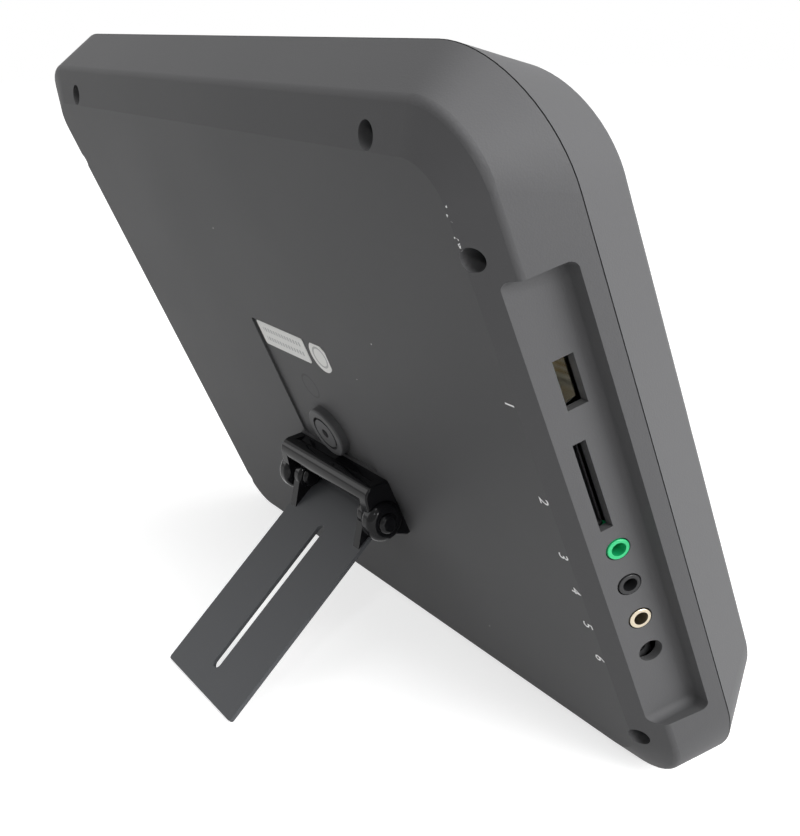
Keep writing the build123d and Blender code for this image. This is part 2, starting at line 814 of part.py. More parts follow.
with BuildPart() as stand_bracket:
    with BuildSketch(Plane.YZ.offset(-ear_middle)):
        with Locations((bar_y, -bar_rise)):
            Circle(bar_radius)
        with Locations((bar_y, -bar_rise / 2)):
            Rectangle(bar_foot, bar_rise)
    extrude(amount=2 * ear_middle)
    with BuildSketch():
        with Locations((0, stop_y - stop_width / 2)):
            Rectangle(2 * ear_middle, stop_width)
    extrude(amount=-stop_height)
    for start in (ball_step - ear_outer, ear_inner):
        with BuildSketch(Plane.YZ.offset(start)):
            with BuildLine():
                CenterArc((hinge_y, -hinge_rise), ear_web_radius, 0, 360)
                CenterArc((bar_y, -bar_rise), bar_radius, 0, 360)
                Polyline((ear_foot_low, -ear_foot_thick), (ear_foot_low, 0), (bar_y + bar_foot / 2, 0))
            make_hull()
        extrude(amount=ear_width - ball_step)
    side_faces = stand_bracket.faces().filter_by(Axis.X).sort_by(Axis.X)
    for face in (side_faces[0], side_faces[-1]):
        fillet(face.edges().filter_by(lambda edge: edge.center().Z < -port_gap), ear_round)
    for side in (-1, 1):
        ball_place = (side * ear_middle, hinge_y, -hinge_rise)
        with BuildSketch(Plane(origin=ball_place, x_dir=(1, 0, 0), z_dir=(0, -1, 0))) as ball:
            with Locations((0, ear_radius / 2)):
                Rectangle(ear_width, ear_radius)
            fillet(ball.vertices().group_by(Axis.Y)[-1], ball_round)
        revolve(axis=Axis((0, hinge_y, -hinge_rise), (1, 0, 0)))
    with BuildSketch(Plane.YZ.offset(-ear_outer)):
        with Locations((hinge_y, -hinge_rise)):
            Circle(pin_radius)
    extrude(amount=2 * ear_outer, mode=Mode.SUBTRACT)
    with BuildSketch():
        with Locations(*bracket_screw_places):
            Circle(small_screw_radius)
    extrude(amount=-(small_screw_length - wall), mode=Mode.SUBTRACT)

bracket_screws = small_screws(bracket_screw_places, wall, -1)

with BuildPart() as hinge_pins:
    for side in (-1, 1):
        pin_start = Plane(origin=(side * pin_inner, hinge_y, -hinge_rise), z_dir=(side, 0, 0))
        with BuildSketch(pin_start):
            Circle(pin_radius)
        extrude(amount=ear_outer - pin_inner)
        with BuildSketch(pin_start):
            Circle(pin_head_radius)
        extrude(amount=-pin_head_height)
        with BuildSketch(pin_start.offset(ear_outer - pin_inner)):
            Circle(pin_head_radius)
        extrude(amount=pin_head_height)
    rounds = hinge_pins.edges().filter_by(GeomType.CIRCLE).filter_by(lambda e: e.radius == pin_head_radius)
    ends = [
        e for e in rounds
        if abs(abs(e.center().X) - (ear_outer + pin_head_height)) < pin_play
        or abs(abs(e.center().X) - (pin_inner - pin_head_height)) < pin_play
    ]
    fillet(ends, pin_head_height * 0.9)

with BuildPart() as hinge_washers:
    for side in (-1, 1):
        with BuildSketch(Plane(origin=(side * ear_inner, hinge_y, -hinge_rise), z_dir=(-side, 0, 0))):
            Circle(washer_radius)
            Circle(pin_radius, mode=Mode.SUBTRACT)
        extrude(amount=washer_thick)

plate_plane = Plane(origin=(0, hinge_y, -hinge_rise), x_dir=(1, 0, 0), z_dir=over).offset(plate_low)
with BuildPart() as leg:
    with BuildSketch(plate_plane) as plate_section:
        with Locations((0, (leg_start + leg_reach) / 2)):
            Rectangle(leg_width, leg_reach - leg_start)
        fillet(plate_section.vertices().group_by(Axis.Y)[-1], leg_corner)
        with Locations((0, (slot_start + leg_reach - slot_end_margin) / 2)):
            SlotOverall(leg_reach - slot_end_margin - slot_start, slot_width, rotation=90, mode=Mode.SUBTRACT)
    extrude(amount=leg_thick)

# The leg's two lugs, fixed over the top of its plate
with BuildPart() as leg_lugs:
    for start in (-leg_width / 2, knuckle_inner):
        with BuildSketch(leg_section(start)):
            Circle(knuckle_radius)
        extrude(amount=knuckle_width)
    fillet(leg_lugs.edges().filter_by(GeomType.CIRCLE), knuckle_round)
    for start in (-leg_width / 2, knuckle_inner):
        with BuildSketch(leg_section(start + knuckle_round / 2)):
            with BuildLine():
                CenterArc((0, 0), knuckle_radius - knuckle_round / 2, 0, 360)
                Polyline((gusset_reach, plate_top), (gusset_reach, plate_low), (0, plate_low))
            make_hull()
        extrude(amount=knuckle_width - knuckle_round)
    with BuildSketch(leg_section(-leg_width / 2)):
        Circle(pin_radius + pin_play)
    extrude(amount=leg_width, mode=Mode.SUBTRACT)
    with BuildSketch(plate_plane):
        with Locations((0, (leg_start + leg_reach) / 2)):
            Rectangle(leg_width, leg_reach - leg_start)
    extrude(amount=leg_thick, mode=Mode.SUBTRACT)

# Foot pads on the lower side wall, which lies level when the frame stands
wall_middle_y = -(back_height / 2 + band_width + side_flare / 2)
with BuildPart() as foot_pads:
    pad_plane = Plane(
        origin=(0, wall_middle_y, band_drop + side_depth / 2),
        x_dir=(1, 0, 0),
        z_dir=(0, -cos(radians(lean)), -sin(radians(lean))),
    )
    with BuildSketch(pad_plane):
        with GridLocations(2 * screw_top_x - 2 * plug_radius, 0, 2, 1):
            RectangleRounded(2 * plug_radius, side_depth / 2, sticker_corner)
    extrude(amount=foot_thick)

# Stand every piece up: turned back by the lean, lifted onto the table and centred front to back
pieces = {
    "rear_housing": rear_housing,
    "front_bezel": front_bezel,
    "infrared_window": infrared_window,
    "infrared_receiver": infrared_receiver,
    "display_tray": display_tray,
    "backlight": backlight,
    "display_glass": display_glass,
    "display_gasket": display_gasket,
    "display_straps": display_straps,
    "display_screws": display_screws,
    "board_screws": board_screws,
    "housing_screws": housing_screws,
    "main_board": main_board,
    "usb_shell": usb_shell,
    "usb_tongue": usb_tongue,
    "card_socket": card_socket,
    "green_jack": green_jack,
    "black_jack": black_jack,
    "metal_jack": metal_jack,
    "power_inlet": power_inlet,
    "power_pin": power_pin,
    "processor": processor,
    "memory_chips": memory_chips,
    "capacitors": capacitors,
    "panel_socket": panel_socket,
    "flat_cable": flat_cable,
    "inverter_board": inverter_board,
    "transformer": transformer,
    "speakers": speakers,
    "speaker_magnets": speaker_magnets,
    "round_plug": round_plug,
    "label_sticker": label_sticker,
    "round_sticker": round_sticker,
    "stand_bracket": stand_bracket,
    "bracket_screws": bracket_screws,
    "hinge_pins": hinge_pins,
    "hinge_washers": hinge_washers,
    "leg": leg,
    "leg_lugs": leg_lugs,
    "foot_pads": foot_pads,
}
upright = Location((0, 0, lift), (90 - lean, 0, 0))
reach = [piece.part.moved(upright).bounding_box() for piece in pieces.values()]
middle_y = (min(box.min.Y for box in reach) + max(box.max.Y for box in reach)) / 2
standing = Location((0, -middle_y, lift), (90 - lean, 0, 0))
for name, piece in pieces.items():
    stood = piece.part.moved(standing)
    stood.label = name
    export_step(stood, f"parts/{name}.step")
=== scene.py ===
"""Looks of a digital photo frame that stands on its leg, seen from behind."""

import json
import math

import bpy
from bpy.props import FloatProperty, FloatVectorProperty, IntProperty, PointerProperty
from mathutils import Matrix, Vector


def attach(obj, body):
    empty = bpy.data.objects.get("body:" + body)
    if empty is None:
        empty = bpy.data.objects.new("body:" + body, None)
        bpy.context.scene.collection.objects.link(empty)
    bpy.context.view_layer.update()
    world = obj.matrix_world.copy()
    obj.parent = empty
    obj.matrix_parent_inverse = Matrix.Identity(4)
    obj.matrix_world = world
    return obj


bl_info = {
    "name": "Photo Frame Looks",
    "version": (1, 0, 0),
    "blender": (4, 5, 0),
    "location": "View3D > Sidebar > Photo Frame",
    "description": "Finishes, prints and contacts of a standing digital photo frame",
    "category": "Object",
}

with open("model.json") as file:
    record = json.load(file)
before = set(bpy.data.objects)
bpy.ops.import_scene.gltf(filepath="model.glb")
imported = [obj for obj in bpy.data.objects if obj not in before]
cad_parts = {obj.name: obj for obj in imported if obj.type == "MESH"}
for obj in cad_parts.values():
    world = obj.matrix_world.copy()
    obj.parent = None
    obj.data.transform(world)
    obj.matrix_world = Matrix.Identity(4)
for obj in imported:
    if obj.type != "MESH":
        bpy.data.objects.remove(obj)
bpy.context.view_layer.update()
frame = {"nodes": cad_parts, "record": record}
nodes = frame["nodes"]
MM = 0.001

# The panel's own axes: x across, y up the back, z from the back to the screen
LEAN = math.radians(23.5)
BACK_TURN = math.pi / 2 - LEAN
TILT = Matrix.Rotation(BACK_TURN, 4, "X")
HINGE = Vector(frame["record"]["behaviour"]["joints"][0]["pos_m"])
HINGE_ON_PANEL = Vector((0.0, -36.0, -6.6)) * MM
BACK_CENTRE = HINGE - TILT @ HINGE_ON_PANEL
PANEL = Matrix.Translation(BACK_CENTRE) @ TILT

# Heights on the panel: the sockets from the top down, and the two stickers
SOCKET_HEIGHTS = (30.2 * MM, 2.2 * MM, -15.2 * MM, -26.7 * MM, -38.6 * MM, -50.6 * MM)
STICKER_HEIGHT = 16.6 * MM
GREY_INK = (0.2, 0.2, 0.21, 1.0)

# The embossed ring on the back, drawn only as painted shade, and the printed one on the round sticker: x, y
# and radius on the panel
BACK_RING_SHADE = (1.6 * MM, 1.0 * MM, 4.2 * MM)
STICKER_RING = (-15.8 * MM, STICKER_HEIGHT, 3.4 * MM)

# Bars on the label: distance of a row from its middle line, half a row, middle and half of a row's length,
# radians per metre of the wave that parts the bars, and the height at which it is cut
LABEL_ROW = 1.7 * MM
LABEL_ROW_HALF = 0.75 * MM
LABEL_MIDDLE = 6.3 * MM
LABEL_HALF = 11.5 * MM
BAR_WAVE = 3600.0
BAR_CUT = -0.2

# Contact strips: the middle of the first one on the panel, their pitch and their size
TONGUE_FIRST = Vector((-109.6, 29.1, 9.88)) * MM
TONGUE_PITCH = 2.333 * MM
TONGUE_STRIP = Vector((1.0, 7.0, 0.06)) * MM
CARD_FIRST = Vector((-100.0, -5.45, 8.62)) * MM
CARD_PITCH = 2.5 * MM
CARD_STRIP = Vector((1.2, 9.0, 0.1)) * MM

# Height of a numeral as a share of the size of its letters
NUMERAL_SHARE = 0.7

# The camera on the panel's axes, its focal length and the drop of its middle in rows of the picture
CAMERA_PLACE = Vector((-290.8, 163.1, -107.9)) * MM
CAMERA_AHEAD = Vector((0.7849, -0.5055, 0.3582))
CAMERA_SIDE = Vector((-0.5605, -0.333, 0.7583))
PICTURE_ROWS = 836
FOCAL_ROWS = 1139.8
DROP_ROWS = 8.0
SENSOR = 36.0

# Lights: name, place in metres, width in metres and power in watts
LAMPS = (
    ("Side softbox", (-1.2, -0.3, 0.6), 0.9, 34.0),
    ("Back softbox", (0.75, 0.65, 0.45), 0.5, 1.3),
    ("Top softbox", (-0.2, 0.1, 1.5), 1.0, 15.0),
    ("Small lamp", (-0.42, 0.34, 0.42), 0.035, 0.4),
)
LAMP_TARGET = Vector((0.0, 0.0, 0.1))
WORLD_LIGHT = 0.21

# Floor: half its width, the distances between which its glow grows, and the least glow
FLOOR_HALF = 4.0
GLOW_NEAR = 0.2
GLOW_FAR = 1.2
GLOW_LEAST = 0.72


class FrameFinish(bpy.types.PropertyGroup):
    """Colours and grain of the frame's surfaces."""

    case_colour: FloatVectorProperty(
        name="Case", description="Soft-touch plastic of the case", subtype="COLOR", size=3, min=0, max=1,
        default=(0.066, 0.066, 0.068),
    )
    leg_colour: FloatVectorProperty(
        name="Leg", description="Satin plastic of the leg", subtype="COLOR", size=3, min=0, max=1,
        default=(0.05, 0.052, 0.056),
    )
    gloss_colour: FloatVectorProperty(
        name="Bracket", description="Glossy plastic of the bracket", subtype="COLOR", size=3, min=0, max=1,
        default=(0.006, 0.006, 0.007),
    )
    green_colour: FloatVectorProperty(
        name="Green jack", description="Collar of the upper jack", subtype="COLOR", size=3, min=0, max=1,
        default=(0.008, 0.33, 0.115),
    )
    cream_colour: FloatVectorProperty(
        name="Tongue", description="Tongue of the wide socket", subtype="COLOR", size=3, min=0, max=1,
        default=(0.5, 0.475, 0.4),
    )
    paper_colour: FloatVectorProperty(
        name="Stickers", description="Paper of the stickers", subtype="COLOR", size=3, min=0, max=1,
        default=(0.78, 0.78, 0.76),
    )
    print_colour: FloatVectorProperty(
        name="Print", description="Ink of the socket numbers", subtype="COLOR", size=3, min=0, max=1,
        default=(0.82, 0.82, 0.82),
    )
    grain_size: FloatProperty(
        name="Grain", description="Width of one bump of the moulded grain", unit="LENGTH", default=0.45 * MM,
    )


class TrimSizes(bpy.types.PropertyGroup):
    """Sizes of the prints and contacts."""

    number_height: FloatProperty(
        name="Number height", description="Height of a socket number", unit="LENGTH", default=3.2 * MM,
    )
    number_x: FloatProperty(
        name="Number place", description="Distance of the numbers from the middle of the back", unit="LENGTH",
        default=107.0 * MM,
    )
    ink_thickness: FloatProperty(
        name="Ink", description="Height of the ink over the back", unit="LENGTH", default=0.04 * MM,
    )
    usb_contacts: IntProperty(name="Tongue contacts", description="Contact strips on the tongue", default=4)
    card_contacts: IntProperty(name="Card contacts", description="Springs in the card slot", default=9)


def group(name, inputs, outputs):
    """An empty shader node group with its sockets; returns it with its input and output nodes."""
    tree = bpy.data.node_groups.new(name, "ShaderNodeTree")
    for label, kind, value in inputs:
        socket = tree.interface.new_socket(label, in_out="INPUT", socket_type=kind)
        if value is not None:
            socket.default_value = value
    for label, kind in outputs:
        tree.interface.new_socket(label, in_out="OUTPUT", socket_type=kind)
    return tree, tree.nodes.new("NodeGroupInput"), tree.nodes.new("NodeGroupOutput")


def math_node(tree, operation, first, second=None):
    """One Math node; numbers are set and sockets are linked."""
    node = tree.nodes.new("ShaderNodeMath")
    node.operation = operation
    for socket, value in zip(node.inputs, (first, second)):
        if value is None:
            continue
        if isinstance(value, (int, float)):
            socket.default_value = value
        else:
            tree.links.new(value, socket)
    return node.outputs[0]


def distance(tree, first, second):
    """How far two values lie apart."""
    return math_node(tree, "ABSOLUTE", math_node(tree, "SUBTRACT", first, second))


def ramp(tree, value, low, high):
    """A value stretched from low..high to 0..1 and kept there."""
    node = tree.nodes.new("ShaderNodeMapRange")
    node.inputs["From Min"].default_value = low
    node.inputs["From Max"].default_value = high
    tree.links.new(value, node.inputs["Value"])
    return node.outputs["Result"]


def grain_group():
    """Moulded grain: fine bumps, and a slow change of shade."""
    tree, given, result = group(
        "Moulded grain",
        [("Vector", "NodeSocketVector", None), ("Size", "NodeSocketFloat", 0.45 * MM)],
        [("Height", "NodeSocketFloat"), ("Cloud", "NodeSocketFloat")],
    )
    scale = math_node(tree, "DIVIDE", 1.0, given.outputs["Size"])
    fine = tree.nodes.new("ShaderNodeTexNoise")
    fine.inputs["Detail"].default_value = 3.0
    tree.links.new(given.outputs["Vector"], fine.inputs["Vector"])
    tree.links.new(scale, fine.inputs["Scale"])
    cells = tree.nodes.new("ShaderNodeTexVoronoi")
    tree.links.new(given.outputs["Vector"], cells.inputs["Vector"])
    tree.links.new(scale, cells.inputs["Scale"])
    height = math_node(tree, "ADD", fine.outputs["Fac"], cells.outputs["Distance"])
    tree.links.new(height, result.inputs["Height"])
    cloud = tree.nodes.new("ShaderNodeTexNoise")
    cloud.inputs["Scale"].default_value = 22.0
    cloud.inputs["Detail"].default_value = 4.0
    tree.links.new(given.outputs["Vector"], cloud.inputs["Vector"])
    tree.links.new(cloud.outputs["Fac"], result.inputs["Cloud"])
    return tree


def dust_group():
    """Sparse pale specks."""
    tree, given, result = group(
        "Dust",
        [("Vector", "NodeSocketVector", None), ("Spacing", "NodeSocketFloat", 9.0 * MM),
         ("Share", "NodeSocketFloat", 0.25)],
        [("Mask", "NodeSocketFloat")],
    )
    cells = tree.nodes.new("ShaderNodeTexVoronoi")
    tree.links.new(given.outputs["Vector"], cells.inputs["Vector"])
    tree.links.new(math_node(tree, "DIVIDE", 1.0, given.outputs["Spacing"]), cells.inputs["Scale"])
    speck = ramp(tree, cells.outputs["Distance"], 0.028, 0.016)
    pick = tree.nodes.new("ShaderNodeSeparateColor")
    tree.links.new(cells.outputs["Color"], pick.inputs["Color"])
    chosen = math_node(tree, "LESS_THAN", pick.outputs["Red"], given.outputs["Share"])
    tree.links.new(math_node(tree, "MULTIPLY", speck, chosen), result.inputs["Mask"])
    return tree


def panel_place(tree, vector):
    """Coordinates on the panel's own axes, split into x, y and z."""
    panel = tree.nodes.new("ShaderNodeMapping")
    panel.vector_type = "TEXTURE"
    panel.inputs["Location"].default_value = BACK_CENTRE
    panel.inputs["Rotation"].default_value = (BACK_TURN, 0.0, 0.0)
    tree.links.new(vector, panel.inputs["Vector"])
    place = tree.nodes.new("ShaderNodeSeparateXYZ")
    tree.links.new(panel.outputs["Vector"], place.inputs["Vector"])
    return place.outputs


def wear_group():
    """Small chips along a stretch of the crease beside the port bay, from the place on the panel."""
    tree, given, result = group(
        "Crease wear",
        [("Vector", "NodeSocketVector", None), ("Crease", "NodeSocketFloat", -110.5 * MM),
         ("Middle", "NodeSocketFloat", 74.0 * MM), ("Half Length", "NodeSocketFloat", 6.0 * MM),
         ("Breadth", "NodeSocketFloat", 0.5 * MM)],
        [("Mask", "NodeSocketFloat")],
    )
    place = panel_place(tree, given.outputs["Vector"])
    across = distance(tree, place["X"], given.outputs["Crease"])
    along = distance(tree, place["Y"], given.outputs["Middle"])
    near = math_node(tree, "LESS_THAN", across, given.outputs["Breadth"])
    stretch = math_node(tree, "LESS_THAN", along, given.outputs["Half Length"])
    back = math_node(tree, "LESS_THAN", place["Z"], 1.0 * MM)
    chip = tree.nodes.new("ShaderNodeTexNoise")
    chip.inputs["Scale"].default_value = 700.0
    tree.links.new(given.outputs["Vector"], chip.inputs["Vector"])
    worn = math_node(tree, "MULTIPLY", ramp(tree, chip.outputs["Fac"], 0.6, 0.64), stretch)
    crease = math_node(tree, "MULTIPLY", near, back)
    tree.links.new(math_node(tree, "MULTIPLY", worn, crease), result.inputs["Mask"])
    return tree


def ring_group():
    """A thin ring mask on the back, from its middle and radius on the panel; it carries the painted shade of
    the embossed ring on the case and the printed ring on the round sticker.
    """
    tree, given, result = group(
        "Ring mark",
        [("Vector", "NodeSocketVector", None), ("X", "NodeSocketFloat", 0.0), ("Y", "NodeSocketFloat", 0.0),
         ("Radius", "NodeSocketFloat", 4.0 * MM), ("Breadth", "NodeSocketFloat", 0.35 * MM)],
        [("Mask", "NodeSocketFloat")],
    )
    place = panel_place(tree, given.outputs["Vector"])
    across = distance(tree, place["X"], given.outputs["X"])
    along = distance(tree, place["Y"], given.outputs["Y"])
    squares = [math_node(tree, "MULTIPLY", part, part) for part in (across, along)]
    reach = math_node(tree, "SQRT", math_node(tree, "ADD", *squares))
    apart = distance(tree, reach, given.outputs["Radius"])
    line = math_node(tree, "LESS_THAN", apart, given.outputs["Breadth"])
    back = math_node(tree, "LESS_THAN", place["Z"], 1.0 * MM)
    tree.links.new(math_node(tree, "MULTIPLY", line, back), result.inputs["Mask"])
    return tree


def use(tree, shared, vector, **values):
    """A shared group placed in a material, on the given coordinates."""
    node = tree.nodes.new("ShaderNodeGroup")
    node.node_tree = shared
    tree.links.new(vector, node.inputs["Vector"])
    for label, value in values.items():
        node.inputs[label].default_value = value
    return node


def mix(tree, mask, first, second):
    """Two colours mixed by a mask; each is a colour or a socket."""
    node = tree.nodes.new("ShaderNodeMix")
    node.data_type = "RGBA"
    tree.links.new(mask, node.inputs["Factor"])
    for socket, value in ((node.inputs[6], first), (node.inputs[7], second)):
        if isinstance(value, bpy.types.NodeSocket):
            tree.links.new(value, socket)
        else:
            socket.default_value = value
    return node.outputs[2]


def rgba(colour, factor=1.0):
    """A colour with alpha, made lighter or darker by a factor."""
    return (*[min(1.0, part * factor) for part in colour], 1.0)


def surface(name, colour, roughness, bump=0.1, size=0.45 * MM, cloud=0.12, dust=0.0, wear=False,
            metallic=0.0, coat=0.0, specular=0.5):
    """A material with grain and slow shade changes, and dust or crease wear where asked."""
    material = bpy.data.materials.new(name)
    material.use_nodes = True
    tree = material.node_tree
    shader = tree.nodes["Principled BSDF"]
    shader.inputs["Metallic"].default_value = metallic
    shader.inputs["Coat Weight"].default_value = coat
    shader.inputs["Specular IOR Level"].default_value = specular
    coordinates = tree.nodes.new("ShaderNodeTexCoord").outputs["Object"]
    grain = use(tree, bpy.data.node_groups["Moulded grain"], coordinates, Size=size)
    tone = mix(tree, grain.outputs["Cloud"], rgba(colour, 1.0 - cloud), rgba(colour, 1.0 + cloud))
    rough = tree.nodes.new("ShaderNodeMapRange")
    tree.links.new(grain.outputs["Cloud"], rough.inputs["Value"])
    rough.inputs["To Min"].default_value = roughness * 0.9
    rough.inputs["To Max"].default_value = roughness * 1.1
    tree.links.new(rough.outputs["Result"], shader.inputs["Roughness"])
    if wear:
        chips = use(tree, bpy.data.node_groups["Crease wear"], coordinates)
        tone = mix(tree, chips.outputs["Mask"], tone, (0.75, 0.75, 0.75, 1.0))
    if dust:
        specks = use(tree, bpy.data.node_groups["Dust"], coordinates, Share=dust)
        tone = mix(tree, specks.outputs["Mask"], tone, (0.7, 0.7, 0.7, 1.0))
    tree.links.new(tone, shader.inputs["Base Color"])
    if bump:
        relief = tree.nodes.new("ShaderNodeBump")
        relief.inputs["Strength"].default_value = bump
        relief.inputs["Distance"].default_value = size * 0.2
        tree.links.new(grain.outputs["Height"], relief.inputs["Height"])
        tree.links.new(relief.outputs["Normal"], shader.inputs["Normal"])
    return material


def lay_over(material, mask, colour):
    """Lays a second colour over a material's own where the mask says."""
    tree = material.node_tree
    shader = tree.nodes["Principled BSDF"]
    under = shader.inputs["Base Color"].links[0].from_socket
    tree.links.new(mix(tree, mask, under, colour), shader.inputs["Base Color"])
    return material


def add_ring(material, x, y, radius, share, colour):
    """Marks a ring on a material of the back: painted shade in place of the relief of the embossed ring on
    the case, and grey print on the round sticker.
    """
    tree = material.node_tree
    coordinates = tree.nodes.new("ShaderNodeTexCoord").outputs["Object"]
    ring = use(tree, bpy.data.node_groups["Ring mark"], coordinates, X=x, Y=y, Radius=radius)
    return lay_over(material, math_node(tree, "MULTIPLY", ring.outputs["Mask"], share), colour)


def dress(names, material):
    """Gives CAD nodes a finished material."""
    for name in names:
        node = nodes[name]
        node.data.materials.clear()
        node.data.materials.append(material)


def place_mesh(name, mesh, matrix, material, body):
    """An object at the origin that holds a mesh put in its place, riding on a body."""
    mesh.transform(matrix)
    mesh.materials.clear()
    mesh.materials.append(material)
    made = bpy.data.objects.new(name, mesh)
    bpy.context.scene.collection.objects.link(made)
    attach(made, body)
    return made


def strip_row(name, count, pitch, size, matrix, material):
    """A row of like contact strips, made with Geometry Nodes and baked to a plain mesh."""
    tree = bpy.data.node_groups.new(name, "GeometryNodeTree")
    tree.interface.new_socket("Geometry", in_out="INPUT", socket_type="NodeSocketGeometry")
    count_in = tree.interface.new_socket("Count", in_out="INPUT", socket_type="NodeSocketInt")
    pitch_in = tree.interface.new_socket("Pitch", in_out="INPUT", socket_type="NodeSocketFloat")
    size_in = tree.interface.new_socket("Size", in_out="INPUT", socket_type="NodeSocketVector")
    tree.interface.new_socket("Geometry", in_out="OUTPUT", socket_type="NodeSocketGeometry")
    given = tree.nodes.new("NodeGroupInput")
    result = tree.nodes.new("NodeGroupOutput")
    line = tree.nodes.new("GeometryNodeMeshLine")
    step = tree.nodes.new("ShaderNodeCombineXYZ")
    tree.links.new(given.outputs["Pitch"], step.inputs["X"])
    tree.links.new(given.outputs["Count"], line.inputs["Count"])
    tree.links.new(step.outputs["Vector"], line.inputs["Offset"])
    strip = tree.nodes.new("GeometryNodeMeshCube")
    tree.links.new(given.outputs["Size"], strip.inputs["Size"])
    spread = tree.nodes.new("GeometryNodeInstanceOnPoints")
    tree.links.new(line.outputs["Mesh"], spread.inputs["Points"])
    tree.links.new(strip.outputs["Mesh"], spread.inputs["Instance"])
    real = tree.nodes.new("GeometryNodeRealizeInstances")
    tree.links.new(spread.outputs["Instances"], real.inputs["Geometry"])
    finish = tree.nodes.new("GeometryNodeSetMaterial")
    finish.inputs["Material"].default_value = material
    tree.links.new(real.outputs["Geometry"], finish.inputs["Geometry"])
    tree.links.new(finish.outputs["Geometry"], result.inputs["Geometry"])
    holder = bpy.data.objects.new(name + " maker", bpy.data.meshes.new(name + " maker"))
    bpy.context.scene.collection.objects.link(holder)
    modifier = holder.modifiers.new("Row", "NODES")
    modifier.node_group = tree
    modifier[count_in.identifier] = count
    modifier[pitch_in.identifier] = pitch
    modifier[size_in.identifier] = size
    graph = bpy.context.evaluated_depsgraph_get()
    mesh = bpy.data.meshes.new_from_object(holder.evaluated_get(graph))
    bpy.data.objects.remove(holder)
    return place_mesh(name, mesh, matrix, material, "case")


class FinishCase(bpy.types.Operator):
    """Gives the case its soft charcoal plastic, and the pads and screws theirs."""

    bl_idname = "photo_frame.finish_case"
    bl_label = "Finish Case"

    def execute(self, context):
        finish = context.scene.frame_finish
        grain_group()
        dust_group()
        wear_group()
        ring_group()
        case = surface("Housing plastic", finish.case_colour, 0.55, 0.16, finish.grain_size, 0.05, 0.05,
                       wear=True, specular=0.12)
        # The darker ring on the back is painted shade: it stands in for the relief shading of the embossed
        # ring, which gets no bump of its own.
        dress(["rear_housing"], add_ring(case, *BACK_RING_SHADE, 0.5, rgba(finish.case_colour, 0.4)))
        dress(["front_bezel"],
              surface("Bezel plastic", finish.case_colour, 0.55, 0.16, finish.grain_size, 0.05, 0.04,
                      specular=0.12))
        dress(["foot_pads", "display_gasket"], surface("Black rubber", (0.02, 0.02, 0.02), 0.8, 0.3))
        dress(["housing_screws", "board_screws", "display_screws", "bracket_screws"],
              surface("Dark screw steel", (0.16, 0.16, 0.17), 0.38, 0.05, metallic=1.0))
        return {"FINISHED"}


class FinishStand(bpy.types.Operator):
    """Gives the bracket, its pins and the leg their finishes."""

    bl_idname = "photo_frame.finish_stand"
    bl_label = "Finish Stand"

    def execute(self, context):
        finish = context.scene.frame_finish
        dress(["stand_bracket", "hinge_pins", "hinge_washers", "leg_lugs"],
              surface("Gloss black", finish.gloss_colour, 0.1, 0.0, 2.0 * MM, 0.2, specular=0.16))
        dress(["leg"], surface("Leg plastic", finish.leg_colour, 0.5, 0.1, finish.grain_size, 0.07, 0.05,
                               specular=0.25))
        dress(["round_plug"], surface("Plug plastic", finish.case_colour, 0.5, 0.12, finish.grain_size, 0.06,
                                      specular=0.15))
        return {"FINISHED"}


class FinishSockets(bpy.types.Operator):
    """Finishes the sockets of the port bay and adds their contact strips."""

    bl_idname = "photo_frame.finish_sockets"
    bl_label = "Finish Sockets"

    def execute(self, context):
        finish = context.scene.frame_finish
        sizes = context.scene.trim_sizes
        pale = surface("Pale plate", (0.5, 0.44, 0.34), 0.3, 0.04, 1.0 * MM, 0.15, metallic=1.0)
        dress(["green_jack"],
              surface("Green plastic", finish.green_colour, 0.34, 0.05, finish.grain_size, 0.06))
        dress(["black_jack"],
              surface("Jack black", (0.016, 0.016, 0.017), 0.3, 0.05, finish.grain_size, 0.1, specular=0.25))
        dress(["metal_jack"], pale)
        dress(["usb_shell", "power_pin"],
              surface("Nickel plate", (0.78, 0.78, 0.76), 0.22, 0.04, 1.0 * MM, 0.1, metallic=1.0))
        dress(["usb_tongue"],
              surface("Cream plastic", finish.cream_colour, 0.42, 0.05, finish.grain_size, 0.05))
        dress(["card_socket", "power_inlet"], surface("Socket black", (0.014, 0.014, 0.015), 0.55, 0.1))
        gold = surface("Gold contacts", (0.85, 0.62, 0.25), 0.25, 0.0, cloud=0.1, metallic=1.0)
        quarter = Matrix.Rotation(math.pi / 2, 4, "Z")
        strip_row("tongue_contacts", sizes.usb_contacts, TONGUE_PITCH, TONGUE_STRIP,
                  PANEL @ Matrix.Translation(TONGUE_FIRST) @ quarter, gold)
        strip_row("card_contacts", sizes.card_contacts, CARD_PITCH, CARD_STRIP,
                  PANEL @ Matrix.Translation(CARD_FIRST) @ quarter, gold)
        return {"FINISHED"}


class FinishInsides(bpy.types.Operator):
    """Finishes the display and the boards inside the case."""

    bl_idname = "photo_frame.finish_insides"
    bl_label = "Finish Insides"

    def execute(self, context):
        dress(["display_glass"],
              surface("Display glass", (0.008, 0.008, 0.01), 0.12, 0.0, cloud=0.05, coat=0.4))
        dress(["display_tray", "display_straps", "speaker_magnets"],
              surface("Bright steel", (0.56, 0.56, 0.57), 0.34, 0.06, 0.8 * MM, 0.1, metallic=1.0))
        dress(["backlight", "flat_cable"], surface("White plastic", (0.78, 0.78, 0.76), 0.5, 0.05))
        dress(["panel_socket"], surface("Socket cream", (0.72, 0.68, 0.55), 0.45, 0.05))
        dress(["main_board", "inverter_board"],
              surface("Board lacquer", (0.015, 0.11, 0.04), 0.36, 0.1, 1.2 * MM, 0.25))
        dress(["processor", "memory_chips", "capacitors", "infrared_receiver"],
              surface("Chip resin", (0.018, 0.018, 0.019), 0.5, 0.1))
        dress(["transformer"], surface("Coil lacquer", (0.16, 0.08, 0.03), 0.35, 0.2, 0.6 * MM, 0.25))
        dress(["speakers"], surface("Speaker black", (0.02, 0.02, 0.021), 0.5, 0.15))
        dress(["infrared_window"],
              surface("Dark red window", (0.035, 0.004, 0.006), 0.12, 0.0, cloud=0.05))
        return {"FINISHED"}


